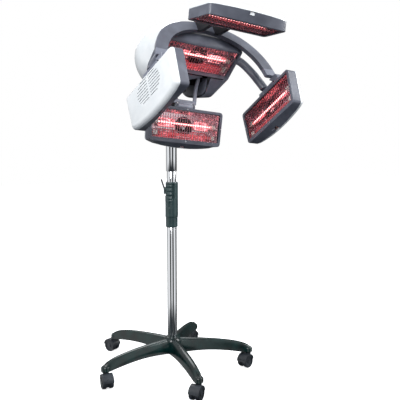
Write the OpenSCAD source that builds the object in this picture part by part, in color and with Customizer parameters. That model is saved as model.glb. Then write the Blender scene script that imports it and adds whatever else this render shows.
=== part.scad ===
// Five-panel infrared hair dryer on a castered telescopic stand.
// The origin is on the floor under the column's axis, +Z is up and the client sits on the -Y side.

/* [Stand] */
// Distance from the column's axis to each castor's stem
star_r = 300; // [260:5:340]
// Turn of the first arm of the star about the column
star_turn = 188; // [0:1:359]
// Number of arms on the star
arms = 5; // [5:1:5]
// Diameter of a castor wheel
wheel_d = 50; // [50:1:52]
// Distance from a castor's stem to its axle
trail = 18; // [14:1:20]
// Top of the star's hub above the floor
hub_top = 125; // [115:1:130]
// Outside radius of the fixed outer tube
outer_r = 19; // [18.5:0.1:20]
// Wall of the column's tubes
tube_wall = 1.5; // [1.2:0.1:1.5]
// Outside radius of the socket tube that carries the head
socket_r = 20.5; // [20.2:0.1:21]
// Height of the top of the outer tube
outer_top = 600; // [580:5:620]
// Height of the bottom of the socket tube
socket_z = 775; // [770:1:800]
// Direction in which the clamp's lever points
clamp_turn = 152; // [0:1:359]

/* [Head] */
// Height of the roll axis
pivot_z = 1060; // [1060:1:1060]
// Sideways roll of the head at rest
head_roll = 6; // [-6:1:6]
// Half width, half depth and half height of the round housing
dome = [172, 142, 137]; // [130:1:180]
// Centre of the round housing
dome_c = [0, -50, 1185]; // [-60:1:1190]
// Wall of the plastic shells
shell_wall = 3; // [2.5:0.5:4]

/* [Heater panels] */
// Width of a grille along its hinge edge
grille_w = 276; // [260:1:280]
// Width of a grille along its free edge
grille_free_w = 266; // [250:1:276]
// Height of a grille from hinge edge to free edge
grille_h = 100; // [95:1:105]
// Depth of a panel's frame
frame_d = 28; // [27:1:32]
// Depth of a panel's back cover
cover_d = 16; // [16:1:22]
// Outward bow of a panel's free edge
bow = 16; // [12:1:24]
// Middle of the nape panel's hinge edge
nape_at = [0, -135, 996]; // [-140:1:1000]
// Tilt of the nape panel from upright
nape_tilt = -3; // [-6:1:0]
// Middle of the centre grille's upper edge
centre_at = [0, -224, 1215]; // [-230:1:1220]
// Tilt of the centre grille from upright
centre_tilt = 42; // [40:1:45]
// Middle of the top panel's hinge edge
top_at = [0, -365, 1261]; // [-370:1:1265]
// Middle of the right panel's hinge edge
side_at = [208, -308, 1072]; // [-325:1:1075]
// Slope of the side panels' hinge edge
side_slope = 29; // [25:1:33]
// Inward lean of the side panels
side_lean = 2; // [0:1:4]

/* [Hoop] */
// Middle of the hoop at its top
hoop_at = [0, -212, 1276]; // [-220:1:1280]
// Slope of the hoop's plane
hoop_slope = 51; // [48:1:54]
// Half width and length of the hoop in its own plane
hoop_size = [217, 214]; // [200:1:220]
// Width of the hoop's strap
strap_w = 34; // [28:1:38]
// Thickness of the hoop's strap
strap_t = 18; // [14:1:22]

/* [Hidden] */

eps = 0.01;
run = 0.05;                 // radial running clearance of pins and shafts
gap = 0.4;                  // side clearance between moving pieces
base_col = "#1f2a2a";
gray = "#565663";
light_gray = "#83848f";
white = "#eef2f5";
dark = "#1a1a1e";
chrome = "#c9ccd0";
glow = "#d8403a";

wheel_r = wheel_d / 2;
wheel_w = 15;
web_t = 10;                 // plate between a castor's two wheels
stem_r = 5.5;
stem_top = 70;
tip_low = 57;
// Where each castor has swivelled to
castor_turns = [262, 215, 200, 200, 115];

bore_r = outer_r - tube_wall;
inner_r = bore_r - run - 0.03;
hub_low = 62;
clamp_r = 25;
clamp_low = 560;
clamp_high = 734;
lever_at = [24, 0, 702];    // lever's axis in the clamp's own direction
lever_pin_r = 3;
socket_top = 1000;
stub_r = inner_r;
pin_r = 6;
tilt_up = 26;               // tilt axis above the roll axis
block = [39.2, 39.2];

rim = 12;                   // frame outside the grille at the hinge edge
rim_end = 12;
rim_free = 15;             // frame outside the grille at the free edge
hinge_y = -20;              // hinge axis behind the hinge edge
hinge_z = -18;
hinge_r = 4;
barrel_r = 8;
lug_t = 8;
narrow = 30;                // half length of the top and nape hinge barrels
broad = 45;                 // half length of the side hinge barrels
fan_at = grille_h * 0.52;
fan_r = 34;
tray_d = 20;
lamp_r = 5;
lamp_z = -11;
motor_r = 15;

fork_pin = [0, -112, 1120]; // pivot of the nape fork
fork_x = 40;

function arc(c, r, a0, a1, n) = [for (i = [0:n]) c + r * [cos(a0 + (a1 - a0) * i / n), sin(a0 + (a1 - a0) * i / n)]];

// Outline of a panel drawn in by m: straight hinge edge, rounded corners and a free edge that bows out by k
function panel_outline(m, k = bow) =
    let (a = grille_w / 2 + rim_end - m, b = grille_free_w / 2 + rim_end - m,
         low = -rim + m, high = grille_h + rim_free - m, r = 12, n = 8)
    concat(arc([a - r, low + r], r, -90, 0, 4),
           arc([b - r, high - r], r, 0, 72, 3),
           [for (i = [1:n]) let (x = (b - r) * (1 - 2 * i / (n + 1))) [x, high + k * (1 - pow(x / b, 2))]],
           arc([-b + r, high - r], r, 108, 180, 3),
           arc([-a + r, low + r], r, 180, 270, 4));

// Outline of a grille grown by m
function grille_outline(m) = [[-grille_w / 2 - m, -m], [grille_w / 2 + m, -m],
    [grille_free_w / 2 + m, grille_h + m], [-grille_free_w / 2 - m, grille_h + m]];

module slab(points, z0, z1) {
    translate([0, 0, z0]) linear_extrude(z1 - z0) polygon(points);
}

module x_pin(r, half) {
    rotate([0, 90, 0]) cylinder(r = r, h = 2 * half, center = true, $fn = 48);
}

module y_pin(r, half) {
    rotate([90, 0, 0]) cylinder(r = r, h = 2 * half, center = true, $fn = 48);
}

module head() {
    translate([0, 0, pivot_z]) rotate([0, head_roll, 0]) translate([0, 0, -pivot_z]) children();
}

module at_nape() { head() translate(nape_at) rotate([nape_tilt, 0, 0]) rotate([-90, 0, 180]) children(); }
module at_centre() { head() translate(centre_at) rotate([centre_tilt, 0, 0]) rotate([-90, 0, 180]) children(); }
module at_top() { head() translate(top_at) rotate([180, 0, 0]) children(); }
module side_place(s) {
    mirror([s < 0 ? 1 : 0, 0, 0]) translate(side_at) rotate([-side_slope, 0, 0]) rotate([0, 0, -93])
        rotate([-90, 0, 180]) rotate([side_lean, 0, 0]) children();
}
module at_left() { head() side_place(-1) children(); }
module at_right() { head() side_place(1) children(); }

// ---- Stand ----

// Side view of one arm, from the hub out to the castor
function arm_top(r) = hub_top - 8 - 30 * pow(r / star_r, 2) - 11 * pow(r / star_r, 10);
function arm_low(r) = 62 - 5 * r / star_r + 14 * sin(180 * r / star_r);

module arm() {
    steps = 8;
    reach = star_r + 12;
    intersection() {
        rotate([90, 0, 0]) translate([0, 0, -40]) linear_extrude(80) polygon(concat(
            [for (i = [0:steps]) [20 + (reach - 20) * i / steps, arm_top(20 + (reach - 20) * i / steps)]],
            [for (i = [steps:-1:0]) [20 + (reach - 20) * i / steps, arm_low(min(star_r, 20 + (reach - 20) * i / steps))]]));
        slab([[0, -27], [reach - 8, -17], [reach, -10], [reach, 10], [reach - 8, 17], [0, 27]], 0, hub_top + 10);
    }
}

module star_base() {
    color(base_col) difference() {
        union() {
            translate([0, 0, hub_low]) cylinder(r = 38, h = hub_top - hub_low - 8, $fn = 64);
            translate([0, 0, hub_top - 8 - eps]) cylinder(r1 = 38, r2 = 27, h = 8, $fn = 64);
            for (i = [0:arms - 1]) rotate(star_turn + i * 360 / arms) {
                arm();
                translate([star_r, 0, tip_low]) cylinder(r = 17, h = 19, $fn = 48);
            }
        }
        translate([0, 0, 50]) cylinder(r = outer_r, h = 100, $fn = 64);
        for (i = [0:arms - 1]) rotate(star_turn + i * 360 / arms) translate([star_r, 0, tip_low - 1])
            cylinder(r = stem_r + run, h = stem_top - tip_low + 1.6, $fn = 32);
    }
}

module at_castor(i) {
    rotate(star_turn + i * 360 / arms) translate([star_r, 0, 0])
        rotate(castor_turns[i] - star_turn - i * 360 / arms) children();
}

module castor_fork(i) {
    hood_r = wheel_r + 4;
    color(gray) at_castor(i) {
        translate([0, 0, 50]) cylinder(r = stem_r, h = stem_top - 50, $fn = 32);
        translate([trail, 0, wheel_r]) difference() {
            union() {
                translate([-trail, 0, 44 - wheel_r]) cylinder(r = 11, h = 10.5, $fn = 32);
                intersection() {
                    y_pin(hood_r, web_t / 2 + gap + wheel_w);
                    translate([-hood_r, -40, 3]) cube([2 * hood_r, 80, hood_r]);
                }
                y_pin(wheel_r - 4, web_t / 2);
            }
            for (s = [-1, 1]) translate([0, s * (web_t / 2 + 20), 0]) y_pin(wheel_r + 1.5, 20);
        }
        translate([trail, 0, wheel_r]) y_pin(3, web_t / 2 + gap + wheel_w);
    }
}

module castor_wheels(i) {
    color(gray) at_castor(i) translate([trail, 0, wheel_r]) for (s = [-1, 1])
        translate([0, s * (web_t / 2 + gap + wheel_w / 2), 0]) difference() {
            union() {
                y_pin(wheel_r, wheel_w / 2 - 2);
                y_pin(wheel_r - 1.5, wheel_w / 2);
            }
            y_pin(3 + run, wheel_w);
            translate([0, s * wheel_w / 2, 0]) difference() {
                y_pin(wheel_r - 6, 3);
                y_pin(8, 4);
            }
        }
}

module tube(r, wall, low, high) {
    translate([0, 0, low]) difference() {
        cylinder(r = r, h = high - low, $fn = 64);
        translate([0, 0, -1]) cylinder(r = r - wall, h = high - low + 2, $fn = 64);
    }
}

module outer_tube() { color(chrome) tube(outer_r, tube_wall, hub_low, outer_top); }
module inner_tube() { color(chrome) tube(inner_r, 1.5, 330, 860); }
module socket_tube() { color(chrome) tube(socket_r, socket_r - inner_r, socket_z, socket_top); }

module clamp_body() {
    color(base_col) difference() {
        union() {
            translate([0, 0, clamp_low]) cylinder(r = clamp_r - 2, h = 40, $fn = 64);
            translate([0, 0, clamp_low + 40]) cylinder(r = clamp_r, h = clamp_high - clamp_low - 44, $fn = 64);
            translate([0, 0, clamp_high - 4 - eps]) cylinder(r1 = clamp_r, r2 = clamp_r - 3, h = 4, $fn = 64);
            for (s = [-1, 1]) rotate(clamp_turn) translate([14, s * 12 - 3, lever_at[2] - 14]) cube([16, 6, 26]);
        }
        translate([0, 0, clamp_low - 1]) cylinder(r = outer_r, h = outer_top - clamp_low + 1, $fn = 64);
        translate([0, 0, clamp_low - 1]) cylinder(r = bore_r, h = 300, $fn = 64);
        for (z = [-70, -62, -54, -46, -38]) translate([0, 0, clamp_high + z]) difference() {
            cylinder(r = clamp_r + 2, h = 3, $fn = 64);
            translate([0, 0, -1]) cylinder(r = clamp_r - 1.5, h = 5, $fn = 64);
        }
        rotate(clamp_turn) translate(lever_at) y_pin(lever_pin_r, 30);
        rotate(clamp_turn) translate([18.5, -9, lever_at[2] - 22]) cube([20, 18, 60]);
    }
}

module clamp_lever() {
    color(dark) rotate(clamp_turn) translate(lever_at) {
        y_pin(5, 9 - gap);
        y_pin(lever_pin_r - run, 15);
        rotate([0, 18, 0]) translate([-1, -7, 0]) cube([5, 14, 44]);
    }
}

// ---- Neck ----

module neck_fork() {
    color(dark) difference() {
        union() {
            translate([0, 0, socket_top - 60]) cylinder(r = stub_r, h = 61, $fn = 64);
            translate([0, 0, socket_top + gap]) cylinder(r = socket_r, h = 12, $fn = 64);
            for (s = [-1, 1]) translate([-13, s * (block[1] / 2 + gap + 3) - 3, socket_top + 8])
                cube([26, 6, pivot_z + 13 - socket_top - 8]);
        }
        translate([0, 0, socket_top - 61]) cylinder(r = 8, h = 80, $fn = 48);
        translate([0, 0, pivot_z]) y_pin(pin_r, 60);
    }
}

module roll_pin() {
    color(chrome) translate([0, 0, pivot_z]) y_pin(pin_r, block[1] / 2 + gap + 9);
}

module cross_block() {
    color(dark) head() difference() {
        translate([-block[0] / 2, -block[1] / 2, pivot_z - 13]) cube([block[0], block[1], tilt_up + 26]);
        translate([0, 0, pivot_z]) y_pin(pin_r + run, 60);
        translate([0, 0, pivot_z + tilt_up]) x_pin(pin_r + run, 60);
    }
}

module tilt_pin() {
    color(chrome) head() translate([0, 0, pivot_z + tilt_up]) x_pin(pin_r, block[0] / 2 + gap + 9);
}

module chassis() {
    ear_t = 5;
    plate_y = -66;
    color(light_gray) head() difference() {
        union() {
            for (s = [-1, 1]) translate([s * (block[0] / 2 + gap + ear_t / 2) - ear_t / 2, plate_y, pivot_z + tilt_up - 12])
                cube([ear_t, 80, 60]);
            translate([-110, plate_y - 4, pivot_z + tilt_up + 14]) cube([220, 4 + eps, 96]);
            for (s = [-1, 1]) translate([s * 56 - 3, fork_pin[1] - 9, fork_pin[2] - 9])
                cube([6, plate_y - fork_pin[1] + 9 + eps, 18]);
            translate(fork_pin) x_pin(3, 59);
        }
        translate([0, 0, pivot_z + tilt_up]) x_pin(pin_r, 60);
    }
}

// ---- Round housing ----

module dome_solid(m) {
    translate(dome_c) scale([dome[0] - m, dome[1] - m, dome[2] - m]) sphere(r = 1, $fn = 48);
}

// Outside of the housing drawn in by m: the dome, the brow and the grille's frame
module housing(m) {
    hull() {
        dome_solid(m);
        translate([0, -198, 1236]) rotate([0, 90, 0]) cylinder(r = 24 - m, h = 2 * (142 - m), center = true, $fn = 32);
        translate([0, -130, 1092]) rotate([0, 90, 0]) cylinder(r = 26 - m, h = 2 * (98 - m), center = true, $fn = 32);
        translate(centre_at) rotate([centre_tilt, 0, 0]) rotate([-90, 0, 180])
            translate([-grille_w / 2 - 12 + m, -10 + m, -20]) cube([grille_w + 24 - 2 * m, grille_h + 20 - 2 * m, 24 - m]);
    }
}

module housing_wall() {
    difference() {
        housing(0);
        housing(shell_wall);
    }
}

split_y = -196;             // the gray front meets the white rear here
chin_at = [0, -150, 1134];  // the chin shell lies below a plane through this point
chin_slope = 20;

// The front shell's share: the brow and a margin round the grille
module front_zone() {
    translate([-300, split_y - 300, 900]) cube([600, 300, 600]);
    translate(centre_at) rotate([centre_tilt, 0, 0]) rotate([-90, 0, 180]) translate([-300, -100, -34]) cube([600, 400, 200]);
}

module neck_slot() {
    translate([-60, -240, 1000]) cube([120, 250, 122]);
    translate([0, 10, 1000]) cylinder(r = 60, h = 136, $fn = 48);
}

module below_chin() {
    translate(chin_at) rotate([-chin_slope, 0, 0]) translate([-300, -300, -300]) cube([600, 700, 300]);
}

module rear_shell() {
    color(white) head() difference() {
        housing_wall();
        front_zone();
        below_chin();
        neck_slot();
        translate([-26, 40, 1150]) cube([52, 80, 34]);
    }
}

module front_shell() {
    color(gray) head() difference() {
        intersection() {
            housing_wall();
            front_zone();
        }
        below_chin();
        translate(centre_at) rotate([centre_tilt, 0, 0]) rotate([-90, 0, 180]) slab(grille_outline(0), -40, 40);
    }
}

module chin_shell() {
    color(gray) head() difference() {
        housing_wall();
        translate(chin_at) rotate([-chin_slope, 0, 0]) translate([-300, -300, 0]) cube([600, 700, 400]);
        translate(centre_at) rotate([centre_tilt, 0, 0]) rotate([-90, 0, 180]) slab(grille_outline(0), -40, 40);
        neck_slot();
    }
}

// ---- Hoop and its fittings ----

// Half of a squarish ellipse, grown by d
function hoop_edge(d, n) = [for (i = [0:n]) let (a = 180 * i / n, k = 2 / 2.25)
    [(hoop_size[0] + d) * sign(cos(a)) * pow(abs(cos(a)), k), hoop_size[1] - (hoop_size[1] + d) * pow(sin(a), k)]];

module hoop_solid() {
    translate(hoop_at) rotate([180 + hoop_slope, 0, 0]) translate([0, 0, -strap_t / 2]) linear_extrude(strap_t)
        polygon(concat(hoop_edge(strap_w / 2, 28), [for (i = [28:-1:0]) hoop_edge(-strap_w / 2, 28)[i]]));
}

// Lower branch of each loop arm, from the housing to the side hinge
module branch(s) {
    route = [[150, -208, 1188], [176, -243, 1160], [194, -268, 1118], [204, -290, 1085]];
    for (j = [0:2]) hull() for (k = [j:j + 1])
        translate([s * route[k][0], route[k][1], route[k][2]]) sphere(r = 13, $fn = 24);
}

module hoop() {
    color(gray) head() difference() {
        union() {
            hoop_solid();
            for (s = [-1, 1]) branch(s);
        }
        housing(-0.1);
        for (s = [-1, 1]) side_place(s) translate([-70, -34, -60]) cube([140, 200, 80]);
    }
}

module knuckle(s) {
    color(light_gray) head() difference() {
        union() {
            side_place(s) translate([0, hinge_y, hinge_z]) {
                x_pin(barrel_r, broad);
                x_pin(hinge_r, broad + gap + lug_t);
            }
            side_place(s) translate([-broad, -34 + eps, hinge_z - 7]) cube([2 * broad, 34 + hinge_y, 14]);
        }
    }
}

// A panel's hinge barrel with the pin that its lugs turn on
module barrel(half) {
    translate([0, hinge_y, hinge_z]) {
        x_pin(barrel_r, half);
        x_pin(hinge_r, half + gap + lug_t);
    }
}

module top_bracket() {
    arm_t = 9;
    color(dark) {
        at_top() barrel(narrow + 12);
        head() difference() {
            for (s = [-1, 1]) translate([s * 34 - arm_t / 2, 0, 0]) rotate([90, 0, 90]) linear_extrude(arm_t)
                polygon([[top_at[1] - hinge_y + 3, top_at[2] - hinge_z - 5], [top_at[1] - hinge_y + 3, top_at[2] - hinge_z + 5],
                    [-240, 1306], [-205, 1306], [-196, 1290], [-216, 1262], [-250, 1256]]);
            hoop_solid();
            housing(-0.1);
        }
    }
}

module nape_fork() {
    t = 10;
    color(light_gray) {
        at_nape() barrel(narrow);
        head() difference() {
            union() {
                for (s = [-1, 1]) translate([0, fork_pin[1] + t / 2, 0]) rotate([90, 0, 0]) linear_extrude(t)
                    polygon([[s * 46, 1032], [s * 34, 1032], [s * 34, 1085], [s * 41, fork_pin[2] + 8],
                        [s * 52, fork_pin[2] + 8], [s * 52, fork_pin[2] - 10], [s * 46, 1080]]);
                translate([-46, fork_pin[1] - t / 2, 1027]) cube([92, t, 11]);
                translate([-26, fork_pin[1] - t / 2 - 4, 1014]) cube([52, t + 2, 14]);
            }
            translate(fork_pin) x_pin(3 + run, 80);
        }
    }
}

// ---- Heater panels ----

module lugs(half) {
    for (s = [-1, 1]) translate([s * (half + gap + lug_t / 2) - lug_t / 2, 0, 0]) difference() {
        union() {
            translate([0, hinge_y, hinge_z]) rotate([0, 90, 0]) cylinder(r = barrel_r, h = lug_t, $fn = 48);
            translate([0, hinge_y, hinge_z - barrel_r]) cube([lug_t, -rim - hinge_y + 1, 2 * barrel_r]);
        }
        translate([-1, hinge_y, hinge_z]) rotate([0, 90, 0]) cylinder(r = hinge_r + run, h = lug_t + 2, $fn = 48);
    }
}

// The frame's free edge is straight in front and bowed at the back, so its wall flares
module frame_solid(m, z0, z1) {
    hull() {
        slab(panel_outline(m), z0, z0 + 2);
        slab(panel_outline(m, 0), z1 - 2, z1);
    }
}

module frame(half) {
    color(gray) difference() {
        union() {
            frame_solid(0, -frame_d, 4);
            lugs(half);
        }
        frame_solid(3, -frame_d - 1, 1);
        slab(grille_outline(-2), 0, 5);
        translate([-9, grille_h + rim_free + bow - 8, -frame_d - 1]) cube([18, 20, 13]);
    }
}

module cover() {
    back = -frame_d - cover_d;
    rows = 8;
    field = [74, 46];
    field_y = 38;
    pitch = 10;
    color(white) difference() {
        hull() {
            slab(panel_outline(0), -frame_d - 6, -frame_d);
            slab(panel_outline(11), back, back + 1);
        }
        hull() {
            slab(panel_outline(2.5), -frame_d - 6, -frame_d + 1);
            slab(panel_outline(13.5), back + 2.5, back + 3.5);
        }
        for (i = [0:rows - 1]) for (s = [-1, 1]) {
            up = (i - (rows - 1) / 2) * pitch;
            half = field[0] * sqrt(1 - pow(up / field[1], 2));
            translate([s > 0 ? 4 : -half, field_y + up - 1.4, back - 1]) cube([half - 4, 2.8, 5]);
        }
    }
}

module grille() {
    nx = 13;
    ny = 5;
    color("#3a2226") difference() {
        slab(grille_outline(2), -1, 1);
        for (i = [0:nx - 1]) for (j = [0:ny - 1])
            translate([-grille_free_w / 2 + 2 + (grille_free_w - 4) * i / nx, 3 + (grille_h - 6) * j / ny, -2])
                cube([(grille_free_w - 4) / nx - 2, (grille_h - 6) / ny - 2, 4]);
    }
}

// Bright tray behind the grille, with the fan's motor on the tray's back
module tray() {
    motor_low = -tray_d - 20;
    color(chrome) {
        difference() {
            slab(grille_outline(0), -tray_d, -1.2);
            slab(grille_outline(-1.2), -tray_d + 1.2, 0);
            translate([0, fan_at, -tray_d - 1]) cylinder(r = fan_r + 1.5, h = 4, $fn = 64);
        }
        translate([0, fan_at, motor_low]) cylinder(r = motor_r, h = 9, $fn = 48);
        translate([0, fan_at, motor_low]) cylinder(r = 2, h = 17, $fn = 32);
        for (s = [-1, 1]) {
            translate([s * (fan_r + 6) - 3, fan_at - 4, motor_low + 2]) cube([6, 8, -tray_d - motor_low - 2 + eps]);
            translate([s > 0 ? motor_r - 1 : -fan_r - 6, fan_at - 4, motor_low + 2]) cube([fan_r + 7 - motor_r, 8, 3]);
        }
    }
}

module lamps() {
    half = grille_free_w / 2 - 8;
    color(glow) for (y = [0.46, 0.84]) translate([0, grille_h * y, lamp_z]) {
        x_pin(lamp_r, half - 8);
        for (s = [-1, 1]) translate([s * (half - 5) - 5, -7, -7]) cube([10, 14, 14]);
    }
}

module fan() {
    blades = 7;
    hub_z = -tray_d - 8.8;
    color(dark) translate([0, fan_at, hub_z]) difference() {
        union() {
            cylinder(r = 12, h = 7, $fn = 48);
            for (i = [0:blades - 1]) rotate(i * 360 / blades) translate([10, 0, 3.5]) rotate([24, 0, 0])
                translate([0, -7, -0.6]) cube([fan_r - 11, 14, 1.2]);
        }
        translate([0, 0, -1]) cylinder(r = 2 + run, h = 11, $fn = 32);
    }
}

// ---- Electrical fittings on the back of the housing ----

module power_inlet() {
    color(dark) head() difference() {
        union() {
            translate([-24, 76, 1152]) cube([26, 12, 30]);
            translate([-22, 50, 1154]) cube([22, 27, 26]);
        }
        translate([-20, 66, 1157]) cube([18, 30, 20]);
    }
}

module rocker_switch() {
    color(dark) head() translate([4, 60, 1156]) cube([18, 28, 22]);
}

star_base();
castor_fork(0);  // castor_fork_1
castor_fork(1);  // castor_fork_2
castor_fork(2);  // castor_fork_3
castor_fork(3);  // castor_fork_4
castor_fork(4);  // castor_fork_5
castor_wheels(0);  // castor_wheels_1
castor_wheels(1);  // castor_wheels_2
castor_wheels(2);  // castor_wheels_3
castor_wheels(3);  // castor_wheels_4
castor_wheels(4);  // castor_wheels_5
outer_tube();
clamp_body();
clamp_lever();
inner_tube();
socket_tube();
neck_fork();
roll_pin();
cross_block();
tilt_pin();
chassis();
rear_shell();
front_shell();
chin_shell();
at_centre() grille();  // centre_grille
at_centre() tray();  // centre_tray
at_centre() lamps();  // centre_lamps
at_centre() fan();  // centre_fan
hoop();
knuckle(-1);  // left_knuckle
knuckle(1);  // right_knuckle
top_bracket();
nape_fork();
at_left() frame(broad);  // left_frame
at_left() cover();  // left_cover
at_left() grille();  // left_grille
at_left() tray();  // left_tray
at_left() lamps();  // left_lamps
at_left() fan();  // left_fan
at_right() frame(broad);  // right_frame
at_right() cover();  // right_cover
at_right() grille();  // right_grille
at_right() tray();  // right_tray
at_right() lamps();  // right_lamps
at_right() fan();  // right_fan
at_top() frame(narrow + 12);  // top_frame
at_top() cover();  // top_cover
at_top() grille();  // top_grille
at_top() tray();  // top_tray
at_top() lamps();  // top_lamps
at_top() fan();  // top_fan
at_nape() frame(narrow);  // nape_frame
at_nape() cover();  // nape_cover
at_nape() grille();  // nape_grille
at_nape() tray();  // nape_tray
at_nape() lamps();  // nape_lamps
at_nape() fan();  // nape_fan
power_inlet();
rocker_switch();
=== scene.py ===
from math import atan2, cos, pi, radians, sin, sqrt

import bmesh
import bpy
from mathutils import Euler, Matrix, Vector


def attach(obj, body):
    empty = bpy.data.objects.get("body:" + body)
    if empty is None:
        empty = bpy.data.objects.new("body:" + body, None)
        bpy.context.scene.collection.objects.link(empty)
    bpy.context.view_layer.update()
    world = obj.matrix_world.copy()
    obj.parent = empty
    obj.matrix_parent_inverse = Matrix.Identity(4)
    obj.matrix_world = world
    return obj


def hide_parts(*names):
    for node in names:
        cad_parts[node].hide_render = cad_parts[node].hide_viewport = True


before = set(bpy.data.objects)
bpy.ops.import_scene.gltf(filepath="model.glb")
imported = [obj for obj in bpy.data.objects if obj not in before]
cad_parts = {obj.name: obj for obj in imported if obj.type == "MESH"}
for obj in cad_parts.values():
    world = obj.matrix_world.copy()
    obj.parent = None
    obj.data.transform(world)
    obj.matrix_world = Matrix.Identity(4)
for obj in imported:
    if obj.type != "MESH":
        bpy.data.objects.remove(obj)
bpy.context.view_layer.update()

# ---- Sizes, in millimetres, as in the part's source ----

METRES = Matrix.Scale(0.001, 4)
HERE = Matrix.Identity(4)
PIVOT_Z = 1060
HEAD_ROLL = 6
GRILLE_W = 276
GRILLE_FREE_W = 266
GRILLE_H = 100
FRAME_D = 28
LIP = 4
COVER_D = 16
BOW = 16
RIM = 12
RIM_END = 12
RIM_FREE = 15
HINGE_Y = -20
HINGE_Z = -18
FAN_Y = 52
FAN_R = 34
TRAY_D = 20
LAMP_YS = (46, 84)
LAMP_Z = -11
STAR_R = 300
STAR_TURN = 188
HUB_TOP = 125

# ---- Sizes of the visual pieces, in millimetres ----

NOTCH_HALF = 9
NOTCH_EDGE = 0.4
NOTCH_FLOOR = -16
FRAME_WALL = 3
COVER_WALL = 2.4
SHELL_WALL = 3.0
LOUVRE_ROWS = 8
LOUVRE_PITCH = 10
LOUVRE_R = 1.4
FIELD_HALF = 74
FIELD_Y = 38
WIRES = 28
WIRE_R = 1.25
CROSS_R = 1.0
LAMP_R = 5.0
FILAMENT_R = 1.8
FAN_BLADES = 7
BARREL_R = 8
PIN_R = 4
OPENING_GAP = 1.5


def shift(x, y, z):
    return Matrix.Translation((x, y, z))


def turn(degrees, axis):
    return Matrix.Rotation(radians(degrees), 4, axis)


FLIP_X = Matrix.Scale(-1, 4, (1, 0, 0))


# Where each group of pieces stands: the head rolls about its pivot, and each panel has its own frame
HEAD = shift(0, 0, PIVOT_Z) @ turn(HEAD_ROLL, "Y") @ shift(0, 0, -PIVOT_Z)
UPRIGHT = turn(180, "Z") @ turn(-90, "X")
SIDE = shift(208, -308, 1072) @ turn(-29, "X") @ turn(-93, "Z") @ UPRIGHT @ turn(2, "X")
CENTRE_IN_HEAD = shift(0, -224, 1215) @ turn(42, "X") @ UPRIGHT
CENTRE = HEAD @ CENTRE_IN_HEAD


def side_place(s):
    """The right panel's frame in the head for s = 1, the left panel's for s = -1."""
    return SIDE if s > 0 else FLIP_X @ SIDE @ FLIP_X


SIDES = ((-1, "left"), (1, "right"))
PANELS = {
    "nape": HEAD @ shift(0, -135, 996) @ turn(-3, "X") @ UPRIGHT,
    "top": HEAD @ shift(0, -365, 1261) @ turn(180, "X"),
    "right": HEAD @ SIDE,
    "left": HEAD @ side_place(-1),
}

# The panels whose reflectors and wires carry the deeper painted red glow
DEEPER_PAINTED_GLOW = ("right", "left", "top")

# ---- Materials ----


def linear(code):
    """An sRGB hex colour as linear RGBA."""
    parts = [int(code[i:i + 2], 16) / 255 for i in (1, 3, 5)]
    return [c / 12.92 if c <= 0.04045 else ((c + 0.055) / 1.055) ** 2.4 for c in parts] + [1.0]


def add(tree, kind, inputs=None, **settings):
    """Add a node with its settings, and give each named input a value or a link."""
    node = tree.nodes.new(kind)
    for name, value in settings.items():
        setattr(node, name, value)
    for name, value in (inputs or {}).items():
        if isinstance(value, bpy.types.NodeSocket):
            tree.links.new(value, node.inputs[name])
        else:
            node.inputs[name].default_value = value
    return node


def new_material(name, **values):
    """A material with a Principled shader and Object coordinates."""
    made = bpy.data.materials.new(name)
    made.use_nodes = True
    tree = made.node_tree
    tree.nodes.clear()
    shader = add(tree, "ShaderNodeBsdfPrincipled", values)
    output = add(tree, "ShaderNodeOutputMaterial")
    tree.links.new(shader.outputs["BSDF"], output.inputs["Surface"])
    place = add(tree, "ShaderNodeTexCoord").outputs["Object"]
    return made, tree, shader, place


def mottle(tree, place, grain_mm, low, high, low_value, high_value):
    """A soft noise whose blotches are grain_mm across, ranged to two values."""
    noise = add(tree, "ShaderNodeTexNoise", {"Vector": place, "Scale": 1000 / grain_mm, "Detail": 3.0})
    return add(tree, "ShaderNodeMapRange", {"Value": noise.outputs["Fac"], "From Min": low, "From Max": high,
                                            "To Min": low_value, "To Max": high_value}).outputs["Result"]


def between(tree, factor, dark, light):
    """A colour between two hex colours."""
    ramp = add(tree, "ShaderNodeValToRGB", {"Fac": factor})
    ramp.color_ramp.elements[0].color = linear(dark)
    ramp.color_ramp.elements[1].color = linear(light)
    return ramp.outputs["Color"]


def roughen(tree, shader, place, grain_mm, height_mm, strength=1.0):
    """Fine bumps of a moulded or plated skin."""
    noise = add(tree, "ShaderNodeTexNoise", {"Vector": place, "Scale": 1000 / grain_mm, "Detail": 2.0})
    bump = add(tree, "ShaderNodeBump", {"Height": noise.outputs["Fac"], "Distance": height_mm / 1000,
                                        "Strength": strength})
    tree.links.new(bump.outputs["Normal"], shader.inputs["Normal"])


def moulded(name, dark, light, rough_low, rough_high, grain_mm, height_mm, **values):
    """An injection moulded plastic: slight flow marks in its colour and gloss over a fine skin."""
    made, tree, shader, place = new_material(name, **values)
    flow = mottle(tree, place, 45, 0.35, 0.65, 0, 1)
    tree.links.new(between(tree, flow, dark, light), shader.inputs["Base Color"])
    tree.links.new(mottle(tree, place, 18, 0.3, 0.7, rough_low, rough_high), shader.inputs["Roughness"])
    roughen(tree, shader, place, grain_mm, height_mm)
    return made


# Satin ABS, spark-eroded mould: the violet-gray of the frames, the hoop and the front shell.
# Its skin is drawn at 2.4 mm, coarser than the real 0.3 mm, so that it shows.
gray_abs = moulded("satin_gray_abs", "#575a66", "#676b77", 0.3, 0.42, 2.4, 0.03, IOR=1.53)

# The same ABS in a paler mix, for the nape fork and the latches
pale_abs = moulded("satin_pale_gray_abs", "#9a9eac", "#aeb2be", 0.3, 0.42, 2.4, 0.03, IOR=1.53)

# The hoop's end castings and the knuckles are drawn a shade lighter than the strap: in part a paler casting,
# in part painted light for the side light falling on the right end
joint_abs_painted_lighter = moulded("satin_mid_gray_abs_partly_painted_light", "#787c8a", "#888c9a", 0.3, 0.42, 2.4, 0.03, IOR=1.53)

# Glossy white ABS: a bright, clean skin with the faintest orange peel
white_abs = moulded("gloss_white_abs", "#eef2f4", "#f7fafb", 0.16, 0.24, 6.0, 0.02, IOR=1.53)

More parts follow.
